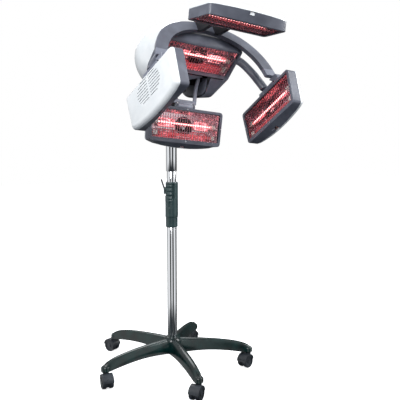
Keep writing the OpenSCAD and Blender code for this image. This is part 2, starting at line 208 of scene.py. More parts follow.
# Glass-filled nylon, moulded and polished: near black, with a green cast and long soft highlights
base_nylon = moulded("black_green_glass_filled_nylon", "#021314", "#082827", 0.16, 0.26, 3.0, 0.02, IOR=1.53)

# The clamp's nylon is the same mix with a coarser satin skin
clamp_nylon = moulded("satin_green_nylon", "#23383a", "#33494a", 0.3, 0.42, 1.6, 0.04, IOR=1.53)

# Black acetal: brackets, neck, fans and electrical fittings
black_acetal = moulded("matt_black_acetal", "#0f0f12", "#1a1a1e", 0.36, 0.5, 1.5, 0.04, IOR=1.48)

# Polypropylene castors: gray, with soft lighter blotches at random
castor_pp = moulded("scuffed_gray_polypropylene", "#1e2227", "#363b41", 0.26, 0.4, 4.0, 0.06, IOR=1.49)

# Glazed steatite lamp ends: off-white with a faint speckle
steatite = moulded("glazed_steatite", "#ece6db", "#faf7f0", 0.18, 0.32, 2.0, 0.03, IOR=1.6)


def metal(name, colour, rough_low, rough_high, grain_mm, height_mm, along=None):
    """A bare or plated metal. along scales its polishing marks on each axis."""
    made, tree, shader, place = new_material(name, Metallic=1.0)
    shader.inputs["Base Color"].default_value = linear(colour)
    if along is not None:
        place = add(tree, "ShaderNodeMapping", {"Vector": place, "Scale": along}).outputs["Vector"]
    tree.links.new(mottle(tree, place, 9, 0.3, 0.7, rough_low, rough_high), shader.inputs["Roughness"])
    roughen(tree, shader, place, grain_mm, height_mm)
    return made


# Chromium over bright nickel on steel tube: mirror-like, with polishing marks that run round the tube
chrome = metal("bright_chrome_plate", "#dfe2e6", 0.05, 0.11, 3.0, 0.004, (1, 1, 6))

# Zinc-plated steel pins and screws
zinc = metal("zinc_plated_steel", "#c3c6cc", 0.2, 0.34, 2.0, 0.01)

# Polished aluminium sheet behind the lamps, with a rolled ripple that breaks up their reflection. Its pink
# tint is a painted reflection of the lamps' red glow: slight, and deeper on the left, right and top panels.
reflector_painted_glow = metal("aluminium_sheet_painted_pink_glow", "#f6dde4", 0.2, 0.36, 8.0, 0.12)
reflector_deeper_painted_glow = metal("aluminium_sheet_painted_red_glow", "#bd8c97", 0.2, 0.36, 8.0, 0.12)

# Nickel-plated wire of the grilles. Its pink colour is a painted reflection of the lamps' red glow, in the
# same two steps
grille_wire_painted_glow = metal("nickel_wire_painted_pink_glow", "#dcb2bc", 0.2, 0.34, 2.0, 0.01)
wire_deeper_painted_glow = metal("nickel_wire_painted_red_glow", "#94666f", 0.2, 0.34, 2.0, 0.01)


def ruby_quartz():
    """Ruby-dyed quartz glass of an infrared tube: clear, deep red and lit from within."""
    made, tree, shader, place = new_material("ruby_quartz_glass", IOR=1.46, Roughness=0.06)
    shader.inputs["Transmission Weight"].default_value = 0.75
    tree.links.new(between(tree, mottle(tree, place, 30, 0.3, 0.7, 0, 1), "#e88c94", "#f4a6ab"),
                   shader.inputs["Base Color"])
    shader.inputs["Emission Color"].default_value = linear("#ff6a70")
    shader.inputs["Emission Strength"].default_value = 0.16
    return made


def glowing_filament():
    """Coiled tungsten wire at working heat: the bright line down the lit tube, with turns drawn 2 mm wide."""
    made, tree, shader, place = new_material("glowing_tungsten_coil", Roughness=0.5)
    shader.inputs["Base Color"].default_value = linear("#ff9a86")
    shader.inputs["Emission Color"].default_value = linear("#ffded9")
    tree.links.new(mottle(tree, place, 2.0, 0.4, 0.6, 3.2, 5.6), shader.inputs["Emission Strength"])
    return made


def dust_filter():
    """Gray reticulated foam behind the louvres, its open pores drawn at 2 mm."""
    made, tree, shader, place = new_material("gray_filter_foam", Roughness=0.9)
    pores = add(tree, "ShaderNodeTexVoronoi", {"Vector": place, "Scale": 500.0})
    shade = between(tree, pores.outputs["Distance"], "#3a3d40", "#8b9094")
    tree.links.new(shade, shader.inputs["Base Color"])
    bump = add(tree, "ShaderNodeBump",
               {"Height": pores.outputs["Distance"], "Distance": 0.001, "Strength": 0.8})
    tree.links.new(bump.outputs["Normal"], shader.inputs["Normal"])
    return made


ruby = ruby_quartz()
filament = glowing_filament()
foam = dust_filter()

# ---- Making pieces ----


def settle(obj, angle=35):
    """Smooth shading that keeps edges sharper than angle."""
    obj.data.shade_smooth()
    obj.data.set_sharp_from_angle(angle=radians(angle))


def piece(bm, name, body, finish, place=HERE, stands_for=(), round_mm=0.0, steps=2,
          wall_mm=0.0, angle=35, recalc=True):
    """Put a bmesh drawn in millimetres into the scene as a piece that rides on a body."""
    bmesh.ops.remove_doubles(bm, verts=bm.verts, dist=0.0005)
    bmesh.ops.transform(bm, matrix=METRES @ place, verts=bm.verts)
    if recalc:
        bmesh.ops.recalc_face_normals(bm, faces=bm.faces)
    mesh = bpy.data.meshes.new(name)
    bm.to_mesh(mesh)
    bm.free()
    obj = bpy.data.objects.new(name, mesh)
    bpy.context.scene.collection.objects.link(obj)
    for each in finish if isinstance(finish, (list, tuple)) else [finish]:
        mesh.materials.append(each)
    settle(obj, angle)
    if wall_mm:
        wall = obj.modifiers.new("wall", "SOLIDIFY")
        wall.thickness = wall_mm / 1000
        wall.offset = -1
        wall.use_even_offset = True
    if round_mm:
        edge = obj.modifiers.new("edge", "BEVEL")
        edge.width = round_mm / 1000
        edge.segments = steps
        edge.limit_method = "ANGLE"
        edge.angle_limit = radians(angle)
        edge.harden_normals = True
    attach(obj, body)
    if stands_for:
        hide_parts(*stands_for)
    return obj


def loft(bm, loops, first=False, last=False, closed=False, open_rows=False):
    """Extrude a loop of points, or an open row of them, from each place to the next. Cap or join the ends."""
    verts = [bm.verts.new(p) for p in loops[0]]
    edges = [bm.edges.new(pair) for pair in zip(verts, verts[1:] + verts[:0 if open_rows else 1])]
    start = edges
    for points in loops[1:] + (loops[:1] if closed else []):
        grown = bmesh.ops.extrude_edge_only(bm, edges=edges)["geom"]
        fresh = {g for g in grown if isinstance(g, bmesh.types.BMVert)}
        verts = [next(e.other_vert(v) for e in v.link_edges if e.other_vert(v) in fresh) for v in verts]
        for v, p in zip(verts, points):
            v.co = p
        rails = [g for g in grown if isinstance(g, bmesh.types.BMEdge)]
        edges = [e for e in rails if e.verts[0] in fresh and e.verts[1] in fresh]
    if first:
        bmesh.ops.contextual_create(bm, geom=start)
    if last:
        bmesh.ops.contextual_create(bm, geom=edges)


def arc(cx, cy, r, a0, a1, n):
    """Points on an arc from a0 to a1 degrees, in n steps."""
    turns = [radians(a0 + (a1 - a0) * i / n) for i in range(n + 1)]
    return [(cx + r * cos(t), cy + r * sin(t)) for t in turns]


def outline(inset, k):
    """A panel's edge drawn in by inset: straight hinge edge, round corners, free edge bowed out by k."""
    a = GRILLE_W / 2 + RIM_END - inset
    b = GRILLE_FREE_W / 2 + RIM_END - inset
    low = inset - RIM
    high = GRILLE_H + RIM_FREE - inset
    r = max(12 - inset * 0.5, 3)
    n = 16
    xs = [(b - r) * (1 - 2 * i / (n + 1)) for i in range(1, n + 1)]
    wide = NOTCH_HALF + 0.6
    tight = NOTCH_HALF - NOTCH_EDGE
    xs = [x for x in xs if x > 12] + [wide, tight, 0, -tight, -wide] + [x for x in xs if x < -12]
    return (arc(a - r, low + r, r, -90, 0, 6) + arc(b - r, high - r, r, 0, 76, 5)
            + [(x, high + k * (1 - (x / b) ** 2)) for x in xs]
            + arc(-b + r, high - r, r, 104, 180, 5) + arc(-a + r, low + r, r, 180, 270, 6))


def opening(grow):
    """The grille's opening grown by grow, with as many points as a panel's edge has."""
    r = 3.0
    a = GRILLE_W / 2 + grow
    b = GRILLE_FREE_W / 2 + grow
    high = GRILLE_H + grow
    n = len(outline(0, BOW)) - 24 - 2
    xs = [(b - r) * (1 - 2 * i / (n + 1)) for i in range(1, n + 1)]
    return (arc(a - r, -grow + r, r, -90, 0, 6) + arc(b - r, high - r, r, 0, 90, 5)
            + [(x, high) for x in xs]
            + arc(-b + r, high - r, r, 90, 180, 5) + arc(-a + r, -grow + r, r, 180, 270, 6))


def at(points, z):
    """Flat points lifted to a height."""
    return [(x, y, z) for x, y in points]


def rod(bm, radius, half, place, sides):
    """A rod along x, centred on place."""
    made = bmesh.ops.create_cone(bm, cap_ends=True, segments=sides, radius1=radius, radius2=radius,
                                 depth=2 * half)
    bmesh.ops.transform(bm, matrix=place @ turn(90, "Y"), verts=made["verts"])


def brick(bm, low, high, place=HERE):
    """A box from its low to its high corner."""
    made = bmesh.ops.create_cube(bm, size=1.0)
    middle = [(a + b) / 2 for a, b in zip(low, high)]
    size = Matrix.Diagonal([b - a for a, b in zip(low, high)] + [1.0])
    bmesh.ops.transform(bm, matrix=place @ Matrix.Translation(middle) @ size, verts=made["verts"])


def turned(bm, profile, place=HERE, steps=64):
    """Spin a profile of (radius, height) points about z."""
    before = set(bm.verts)
    verts = [bm.verts.new((r, 0, z)) for r, z in profile]
    edges = [bm.edges.new(pair) for pair in zip(verts, verts[1:])]
    bmesh.ops.spin(bm, geom=verts + edges, cent=(0, 0, 0), axis=(0, 0, 1), angle=2 * pi, steps=steps,
                   use_merge=True)
    bmesh.ops.transform(bm, matrix=place, verts=[v for v in bm.verts if v not in before])


def smooth_path(points, per_span):
    """A Catmull-Rom line through points."""
    points = [Vector(p) for p in points]
    ends = [2 * points[0] - points[1]] + points + [2 * points[-1] - points[-2]]
    line = []
    for i in range(1, len(ends) - 2):
        p0, p1, p2, p3 = ends[i - 1:i + 3]
        for j in range(per_span):
            t = j / per_span
            line.append(0.5 * (2 * p1 + (p2 - p0) * t + (2 * p0 - 5 * p1 + 4 * p2 - p3) * t * t
                               + (3 * p1 - p0 - 3 * p2 + p3) * t ** 3))
    return line + [points[-1]]


def sweep(bm, line, section, up=(0, 0, 1)):
    """Carry a closed section of (side, up) points along a line."""
    loops = []
    for i, p in enumerate(line):
        along = (line[min(i + 1, len(line) - 1)] - line[max(i - 1, 0)]).normalized()
        side = along.cross(Vector(up)).normalized()
        lift = side.cross(along)
        loops.append([p + side * s + lift * u for s, u in section])
    loft(bm, loops, first=True, last=True)


def circle(radius, sides):
    turns = [2 * pi * i / sides for i in range(sides)]
    return [(radius * cos(t), radius * sin(t)) for t in turns]


def plate(bm, points, thickness, place=HERE):
    """A flat plate from an outline in its own x and y, centred on z = 0."""
    face = bm.faces.new([bm.verts.new((x, y, -thickness / 2)) for x, y in points])
    grown = bmesh.ops.extrude_face_region(bm, geom=[face])["geom"]
    top = [g for g in grown if isinstance(g, bmesh.types.BMVert)]
    bmesh.ops.translate(bm, vec=(0, 0, thickness), verts=top)
    bmesh.ops.transform(bm, matrix=place, verts=list(face.verts) + top)


def baked(obj):
    """The mesh that an object's modifiers make."""
    graph = bpy.context.evaluated_depsgraph_get()
    return bpy.data.meshes.new_from_object(obj.evaluated_get(graph))


def scratch(bm, name):
    """A helper object that is removed once it has done its work."""
    mesh = bpy.data.meshes.new(name)
    bm.to_mesh(mesh)
    bm.free()
    obj = bpy.data.objects.new(name, mesh)
    bpy.context.scene.collection.objects.link(obj)
    return obj


# ---- Heater panels ----


def panel_frame(name, place):
    """The tray-like frame: a flat lip round the grille and a wall that flares out to the bowed back edge."""
    def notched(points):
        """The back edge, lifted over the notch in the middle of the free side."""
        edge = []
        for x, y in points:
            if abs(x) < NOTCH_HALF and y > GRILLE_H / 2 + 10:
                edge.append((x, y - BOW * (NOTCH_FLOOR + FRAME_D) / (FRAME_D + LIP), NOTCH_FLOOR))
            else:
                edge.append((x, y, -FRAME_D))
        return edge
    body = f"{name}_panel"
    bm = bmesh.new()
    loft(bm, [notched(outline(0, BOW)), at(outline(0, 0), LIP), at(opening(OPENING_GAP), LIP),
              at(opening(OPENING_GAP), 1), at(outline(FRAME_WALL, 0), 1), notched(outline(FRAME_WALL, BOW))],
         closed=True)
    piece(bm, f"{name}_panel_frame", body, gray_abs, place, [f"{name}_frame"], 1.4, 3,
          angle=28)
    barrel_half = {"nape": 30, "top": 42}.get(name, 45)
    lug = 8
    tall = BARREL_R - 0.1
    bm = bmesh.new()
    for s in (-1, 1):
        x = s * (barrel_half + 0.4 + lug / 2)
        rod(bm, BARREL_R, lug / 2, shift(x, HINGE_Y, HINGE_Z), 32)
        brick(bm, (x - lug / 2, HINGE_Y, HINGE_Z - tall), (x + lug / 2, -RIM + 1.5, HINGE_Z + tall))
    piece(bm, f"{name}_hinge_lugs", body, gray_abs, place, (), 0.6, 2)
    bm = bmesh.new()
    for x, y in ((0, -7), (0, 108), (143, 50), (-143, 50)):
        turned(bm, [(0, LIP + 1.4), (1.6, LIP + 1.3), (2.6, LIP + 0.7), (2.9, LIP - 0.3)], shift(x, y, 0), 20)
    piece(bm, f"{name}_lip_screws", body, zinc, place, ())


def notch_tab():
    """The white tongue of the top panel's cover that fills the notch in its frame."""
    bm = bmesh.new()
    half = NOTCH_HALF - NOTCH_EDGE
    brick(bm, (-half, 112, -FRAME_D + NOTCH_EDGE), (half, 126.5, NOTCH_FLOOR - 1))
    piece(bm, "top_notch_tab", "top_panel", white_abs, PANELS["top"], (), 1.2, 3)


def notch_latch(name, place):
    """The small pale latch beside the notch in a panel's free edge."""
    bm = bmesh.new()
    brick(bm, (11, 117, -24), (22, 126.2, -16))
    piece(bm, f"{name}_notch_latch", f"{name}_panel", pale_abs, place, (), 1.2, 3)


def louvre_slots():
    """Rows of slots in an oval field, parted down the middle."""
    bm = bmesh.new()
    back = -FRAME_D - COVER_D
    r = LOUVRE_R
    for i in range(LOUVRE_ROWS):
        up = (i - (LOUVRE_ROWS - 1) / 2) * LOUVRE_PITCH
        half = FIELD_HALF * sqrt(1 - (up / 46) ** 2)
        for s in (-1, 1):
            x0, x1 = sorted((s * 4.0, s * half))
            ends = arc(x1 - r, FIELD_Y + up, r, -90, 90, 6) + arc(x0 + r, FIELD_Y + up, r, 90, 270, 6)
            loft(bm, [at(ends, back - 3), at(ends, back + 6)], first=True, last=True)
    bmesh.ops.recalc_face_normals(bm, faces=bm.faces)
    return bm


def cover_mesh():
    """A back cover with soft edges, its louvre field cut right through the wall."""
    bm = bmesh.new()
    steps = [(0.0, 0), (0.0, 3.5), (0.6, 6.0), (2.2, 9.0), (4.6, 11.6), (7.4, 13.8), (10.2, 15.3),
             (13.0, COVER_D)]
    loft(bm, [at(outline(inset, BOW), -FRAME_D - deep) for inset, deep in steps], last=True)
    bmesh.ops.recalc_face_normals(bm, faces=bm.faces)
    for face in bm.faces:
        face.smooth = True
    bmesh.ops.solidify(bm, geom=bm.faces, thickness=COVER_WALL)
    shell = scratch(bm, "cover_blank")
    cutter = scratch(louvre_slots(), "slot_cutter")
    cut = shell.modifiers.new("slots", "BOOLEAN")
    cut.object = cutter
    cut.operation = "DIFFERENCE"
    cut.solver = "EXACT"
    mesh = baked(shell)
    bpy.data.objects.remove(shell)
    bpy.data.objects.remove(cutter)
    return mesh


def panel_cover(name, place, mesh):
    """A panel's white cover, and the oval of foam behind its louvres."""
    bm = bmesh.new()
    bm.from_mesh(mesh)
    piece(bm, f"{name}_back_cover", f"{name}_panel", white_abs, place, [f"{name}_cover"],
          angle=30, recalc=False)
    bm = bmesh.new()
    oval = [(x * FIELD_HALF * 1.02, FIELD_Y + y * 44) for x, y in circle(1, 48)]
    plate(bm, oval, 2.0, shift(0, 0, -FRAME_D - COVER_D + 5.5))
    piece(bm, f"{name}_dust_filter", f"{name}_panel", foam, place, (), 0.5, 2)


def grille(name, body, place, stands_for):
    """Round wires at a 10 mm pitch, welded on long ones that run across them."""
    bm = bmesh.new()
    for i in range(WIRES):
        share = (i - (WIRES - 1) / 2) / ((WIRES - 1) / 2)
        foot = Vector((share * (GRILLE_W / 2 - 3), -1.0, 0.4))
        head = Vector((share * (GRILLE_FREE_W / 2 - 3), GRILLE_H + 1.0, 0.4))
        sweep(bm, [foot, head], circle(WIRE_R, 8))
    for y in (0, 25, 50, 75, 100):
        half = GRILLE_W / 2 - (GRILLE_W - GRILLE_FREE_W) / 2 * y / GRILLE_H + 1
        sweep(bm, [Vector((-half, y, -0.9)), Vector((half, y, -0.9))], circle(CROSS_R, 8))
    # The wire's pink is painted red glow, deeper on the left, right and top panels
    wire = wire_deeper_painted_glow if name in DEEPER_PAINTED_GLOW else grille_wire_painted_glow
    piece(bm, f"{name}_wire_grille", body, wire, place, stands_for, angle=60)


def tray_edge(grow):
    """The opening's edge, grown by grow, with extra points along its straight sides."""
    points = [Vector(p) for p in opening(grow)]
    rounds = [Vector(p) for p in opening(0)]
    edge = []
    for i, p in enumerate(points):
        steps = max(1, round((rounds[i] - rounds[i - 1]).length / 6))
        edge += [points[i - 1].lerp(p, j / steps) for j in range(steps)]
    return edge


def reflector_tray(name, body, place, stands_for):
    """A folded tray with a hollow along each lamp, a round hole for the fan and the motor behind it."""
    # The sheet's pink tint is painted red glow, deeper on the left, right and top panels
    sheet = reflector_deeper_painted_glow if name in DEEPER_PAINTED_GLOW else reflector_painted_glow
    bm = bmesh.new()
    sheet_z = -TRAY_D + 1.5
    fold = tray_edge(-9.0)
    loft(bm, [at(tray_edge(-0.4), -1.3), at(tray_edge(-2.0), -6.0), at(fold, sheet_z)])
    bmesh.ops.recalc_face_normals(bm, faces=bm.faces)
    hole_r = FAN_R + 1.6
    hole = []
    for x, y in fold:
        a = atan2(y - FAN_Y, x)
        hole.append((hole_r * cos(a), FAN_Y + hole_r * sin(a)))
    loft(bm, [at(fold, sheet_z), at(hole, sheet_z), at(hole, -TRAY_D - 3)])
    piece(bm, f"{name}_reflector_tray", body, sheet, place, stands_for, angle=25,
          recalc=False)
    bm = bmesh.new()
    arch = [(15.5 * cos(t), -7.4 * sin(t)) for t in [pi * i / 14 for i in range(15)]]
    for y, inner in zip(LAMP_YS, (39.5, 30.0)):
        for s in (-1, 1):
            rows = [[(x, y + a, LAMP_Z + 2.2 + b) for a, b in arch] for x in (s * inner, s * 116)]
            loft(bm, rows, open_rows=True)
    piece(bm, f"{name}_lamp_hollows", body, sheet, place, (), wall_mm=0.5, angle=50)
    bm = bmesh.new()
    motor = [(0, -40), (13.5, -40), (15, -38.6), (15, -32.4), (13.6, -31), (4, -31), (4, -29.4), (2, -29.2),
             (2, -23), (0, -23)]
    turned(bm, motor, shift(0, FAN_Y, 0), 40)
    for a in (45, 135, 225, 315):
        spoke = shift(0, FAN_Y, -36) @ turn(a, "Z")
        brick(bm, (14, -2.2, -1.2), (FAN_R + 3, 2.2, 1.2), spoke)
        brick(bm, (FAN_R + 1.8, -2.2, -1.2), (FAN_R + 4, 2.2, 13.5), spoke)
    piece(bm, f"{name}_fan_motor", body, zinc, place, (), 0.4, 2)


def lamps(name, body, place, stands_for):
    """Two ruby tubes with their steatite ends and clips. The one nearer the hinge side is lit."""
    half = GRILLE_FREE_W / 2 - 8
    r = LAMP_R
    bm = bmesh.new()
    taper = [(r - 1, 8), (r - 0.1, 10), (r, 14)]
    tube = [(wide, end - half) for wide, end in taper] + [(wide, half - end) for wide, end in reversed(taper)]
    for y in LAMP_YS:
        turned(bm, tube, shift(0, y, LAMP_Z) @ turn(90, "Y"), 20)
    piece(bm, f"{name}_quartz_tubes", body, ruby, place, stands_for, angle=60)
    bm = bmesh.new()
    line = [Vector((x, LAMP_YS[0], LAMP_Z)) for x in (-half + 12, 0, half - 12)]
    sweep(bm, line, circle(FILAMENT_R, 10))
    piece(bm, f"{name}_filament", body, filament, place, (), angle=60)
    bm = bmesh.new()
    for y in LAMP_YS:
        for s in (-1, 1):
            x0, x1 = sorted((s * (half - 15), s * (half + 1)))
            brick(bm, (x0, y - 7.5, LAMP_Z - 6.5), (x1, y + 7.5, LAMP_Z + 6.5))
    piece(bm, f"{name}_lamp_ends", body, steatite, place, (), 1.4, 3)
    bm = bmesh.new()
    for y in LAMP_YS:
        for s in (-1, 1):
            line = [Vector((s * (half - 22), a, b)) for a, b in arc(y, LAMP_Z, 7.2, -45, 225, 12)]
            sweep(bm, line, [(-2.0, -0.4), (2.0, -0.4), (2.0, 0.4), (-2.0, 0.4)], up=(1, 0, 0))
    piece(bm, f"{name}_lamp_clips", body, zinc, place, ())


def fan(name, place, stands_for):
    """A bladed cooling fan with a bright hub cap."""
    body = f"{name}_fan"
    middle = shift(0, FAN_Y, -TRAY_D - 8.8)
    bm = bmesh.new()
    for i in range(FAN_BLADES):
        spin = turn(i * 360 / FAN_BLADES, "Z")
        rows = []
        for j in range(6):
            out = j / 5
            r = 9 + (FAN_R - 10) * out
            pitch = radians(40 - 18 * out)
            chord = 8 + 5 * out
            row = []
            for t in (-1, -0.4, 0.2, 0.7, 1):
                y = t * chord * cos(pitch) + 0.24 * (r - 9)
                z = 3.6 + t * chord * sin(pitch) * 0.42 + 0.8 * (1 - t * t)
                row.append(spin @ Vector((r * cos(y / r / 1.6), y, z)))
            rows.append(row)
        loft(bm, rows, open_rows=True)
    fit = (FAN_R - 0.6) / max(sqrt(v.co.x ** 2 + v.co.y ** 2) for v in bm.verts)
    bmesh.ops.scale(bm, vec=(fit, fit, 1), verts=bm.verts)
    bmesh.ops.transform(bm, matrix=middle, verts=bm.verts)
    piece(bm, f"{name}_fan_blades", body, black_acetal, place, stands_for, wall_mm=1.0,
          angle=50)
    bm = bmesh.new()
    turned(bm, [(2.1, 0.1), (11.5, 0.1), (12, 0.6), (12, 6.2), (11.4, 6.9), (2.1, 7.2)], middle, 40)
    piece(bm, f"{name}_fan_hub", body, black_acetal, place, ())
    bm = bmesh.new()
    turned(bm, [(11.2, 6.8), (11.0, 7.5), (8.5, 8.2), (4.5, 8.6), (2.6, 8.4), (2.1, 7.4)], middle, 40)
    piece(bm, f"{name}_fan_hub_cap", body, zinc, place, ())


def centre_bezel():
    """The wall round the centre grille, deeper towards the chin, where the housing stands proud of it."""
    bm = bmesh.new()
    inner = opening(1.2)
    crest = [(x, y, 2.6 + 0.17 * (y + 10)) for x, y in inner]
    outer = [(x * 1.016, y, z) for x, y, z in crest]
    loft(bm, [at(inner, -3), crest, outer, at(opening(3.4), -3)], closed=True)
    piece(bm, "centre_bezel", "head", gray_abs, CENTRE, (), 0.5, 2, angle=40)


blank_cover = cover_mesh()
for panel, spot in PANELS.items():
    panel_frame(panel, spot)
    panel_cover(panel, spot, blank_cover)
    grille(panel, f"{panel}_panel", spot, [f"{panel}_grille"])
    reflector_tray(panel, f"{panel}_panel", spot, [f"{panel}_tray"])
    lamps(panel, f"{panel}_panel", spot, [f"{panel}_lamps"])
    fan(panel, spot, [f"{panel}_fan"])
notch_latch("right", PANELS["right"])
notch_latch("left", PANELS["left"])
notch_tab()
centre_bezel()
grille("centre", "head", CENTRE, ["centre_grille"])
reflector_tray("centre", "head", CENTRE, ["centre_tray"])
lamps("centre", "head", CENTRE, ["centre_lamps"])
fan("centre", CENTRE, ["centre_fan"])

# ---- Round housing ----

SPLIT_Y = -196
SPLIT_LOCAL_Z = -34
CHIN_AT = Vector((0, -150, 1134))
CHIN_UP = turn(-20, "X") @ Vector((0, 0, 1))
NECK_HALF = 60
NECK_BACK = 62
NECK_FRONT = -100
NECK_TOP = 1122
LIP_X = 34
LIP_AT = Vector((LIP_X, 0, NECK_TOP))
LIP_UP = Vector((-0.34, 0, 1))
INLET_HALF = 26
INLET_LOW = 1150
INLET_HIGH = 1184
GRILLE_BACK = CENTRE_IN_HEAD.inverted()


def housing_blank():
    """The whole outside of the housing: a dome drawn over the brow, the jaw and the grille's frame."""
    bm = bmesh.new()
    ball = bmesh.ops.create_uvsphere(bm, u_segments=72, v_segments=48, radius=1.0)
    dome = shift(0, -50, 1185) @ Matrix.Diagonal((172, 142, 137, 1))
    bmesh.ops.transform(bm, matrix=dome, verts=ball["verts"])
    rod(bm, 24, 142, shift(0, -198, 1236), 48)
    rod(bm, 30, 92, shift(0, -128, 1088), 48)
    brick(bm, (-GRILLE_W / 2 - 12, -10, -20), (GRILLE_W / 2 + 12, GRILLE_H + 10, 4), CENTRE_IN_HEAD)
    bmesh.ops.delete(bm, geom=bm.edges[:], context="EDGES_FACES")
    hull = bmesh.ops.convex_hull(bm, input=bm.verts)
    inside = {g for g in hull["geom_interior"] + hull["geom_unused"] if isinstance(g, bmesh.types.BMVert)}
    bmesh.ops.delete(bm, geom=list(inside), context="VERTS")
    blank = scratch(bm, "housing_blank")
    skin = blank.modifiers.new("skin", "REMESH")
    skin.mode = "VOXEL"
    skin.voxel_size = 3.2
    soft = blank.modifiers.new("soft", "SMOOTH")
    soft.factor = 0.5
    soft.iterations = 8
    mesh = baked(blank)
    bpy.data.objects.remove(blank)
    return mesh


def zone(p):
    """The shell that a point of the housing belongs to, or none where it is open."""
    local = GRILLE_BACK @ p
    gap = OPENING_GAP
    width = GRILLE_W / 2 - (GRILLE_W - GRILLE_FREE_W) / 2 * local.y / GRILLE_H + gap
    if local.z > -12 and -gap < local.y < GRILLE_H + gap and abs(local.x) < width:
        return None
    lip = p.y < NECK_FRONT and p.x < LIP_X and (p - LIP_AT).dot(LIP_UP) > 0
    if abs(p.x) < NECK_HALF and p.y < NECK_BACK and p.z < NECK_TOP and not lip:
        return None
    if abs(p.x) < INLET_HALF and p.y > 40 and INLET_LOW < p.z < INLET_HIGH:
        return None
    if (p - CHIN_AT).dot(CHIN_UP) < 0:
        return "chin"
    return "front" if p.y < SPLIT_Y or local.z > SPLIT_LOCAL_Z else "rear"


def shell_cuts():
    """The planes along which the housing is cut before its faces are sorted into shells."""
    cuts = [((0, SPLIT_Y, 0), (0, 1, 0)), (CHIN_AT, CHIN_UP), (LIP_AT, LIP_UP)]
    for axis, reach in ((0, LIP_X), (1, NECK_FRONT), (0, NECK_HALF), (0, -NECK_HALF), (1, NECK_BACK),
                        (2, NECK_TOP), (0, INLET_HALF), (0, -INLET_HALF), (2, INLET_LOW), (2, INLET_HIGH)):
        normal = Vector((0, 0, 0))
        normal[axis] = 1
        cuts.append((normal * reach, normal))
    gap = OPENING_GAP
    taper = (GRILLE_W - GRILLE_FREE_W) / 2
    for point, normal in (((0, 0, SPLIT_LOCAL_Z), (0, 0, 1)), ((0, -gap, 0), (0, 1, 0)),
                          ((0, GRILLE_H + gap, 0), (0, 1, 0)),
                          ((GRILLE_W / 2 + gap, 0, 0), (GRILLE_H, taper, 0)),
                          ((-GRILLE_W / 2 - gap, 0, 0), (GRILLE_H, -taper, 0))):
        cuts.append((CENTRE_IN_HEAD @ Vector(point), CENTRE_IN_HEAD.to_3x3() @ Vector(normal)))
    return cuts


def whole(bm):
    """All the geometry of a bmesh, as its cutting operators want it."""
    return bm.verts[:] + bm.edges[:] + bm.faces[:]


def housing_shells():
    """The rear, front and chin shells, and the plates beside the neck's recess."""
    bm = bmesh.new()
    bm.from_mesh(housing_blank())
    for point, normal in shell_cuts():
        bmesh.ops.bisect_plane(bm, geom=whole(bm), dist=0.01, plane_co=point, plane_no=normal)
    for shell, finish, slot in (("rear", white_abs, "white_plastic"), ("front", gray_abs, "gray_plastic"),
                                ("chin", gray_abs, "gray_plastic")):
        part = bm.copy()
        strangers = [f for f in part.faces if zone(f.calc_center_median()) != shell]
        bmesh.ops.delete(part, geom=strangers, context="FACES")
        piece(part, f"{shell}_housing", "head", finish, HEAD, [f"{shell}_shell"], 0.8, 2,
              wall_mm=SHELL_WALL, angle=40, recalc=False)
    bm.free()
    for s, name in SIDES:
        bm = bmesh.new()
        side = [(-154, NECK_TOP), (-153, 1100), (-149, 1078), (-132, 1064), (-90, 1062), (-50, 1062),
                (0, 1068), (50, 1100), (50, NECK_TOP)]
        plate(bm, side, SHELL_WALL, shift(s * (NECK_HALF - 0.5), 0, 0) @ turn(90, "Z") @ turn(90, "X"))
        piece(bm, f"{name}_recess_wall", "head", gray_abs, HEAD, (), 0.6, 2)


housing_shells()

# ---- Hoop, branches and brackets ----


# Where the strap ends, and where its end castings begin, along y in a side panel's frame
HOOP_END_Y = -34
CASTING_Y = -62


def hoop_edge(d):
    """One edge of the strap, d outside its middle line. Its inner edges swing further in towards the ends."""
    k = 2 / 2.25
    steps = 72
    points = []
    for i in range(steps + 1):
        t = pi * i / steps
        reach = d * (1 + 0.45 * sqrt(abs(cos(t)))) if d < -1 else d
        points.append(((217 + reach) * (1 if cos(t) >= 0 else -1) * abs(cos(t)) ** k,
                       214 - (214 + reach) * max(sin(t), 0) ** k))
    return points


def cut_at(bm, side, y, clear):
    """Cut across a side panel's frame at y, clear what lies beyond if asked, and return the cut's edges."""
    found = bmesh.ops.bisect_plane(bm, geom=whole(bm), plane_co=side @ Vector((0, y, 0)),
                                   plane_no=side.to_3x3() @ Vector((0, 1, 0)), clear_outer=clear)
    return [g for g in found["geom_cut"] if isinstance(g, bmesh.types.BMEdge)]


def hoop_band():
    """The arched strap, with its end castings drawn paler, partly as painted light."""
    section = ((17, -9), (17, 2.5), (15.6, 6.2), (11.5, 8.6), (0, 9), (-12, 8.6), (-17, 6), (-17, -9))
    edges = [at(hoop_edge(d), z) for d, z in section]
    bm = bmesh.new()
    loft(bm, [list(row) for row in zip(*edges)], first=True, last=True)
    bmesh.ops.transform(bm, matrix=shift(0, -212, 1276) @ turn(231, "X"), verts=bm.verts)
    for s in (-1, 1):
        cut_at(bm, side_place(s), CASTING_Y, False)
        bmesh.ops.holes_fill(bm, edges=cut_at(bm, side_place(s), HOOP_END_Y, True), sides=0)
    # The end castings' faces take the paler ABS, which is partly painted light
    for face in bm.faces:
        middle = face.calc_center_median()
        for s in (-1, 1):
            local = side_place(s).inverted() @ middle
            if local.y > CASTING_Y and abs(local.x) < 120:
                face.material_index = 1
    piece(bm, "hoop_band", "head", [gray_abs, joint_abs_painted_lighter], HEAD, ["hoop"], 1.2, 2, angle=38)


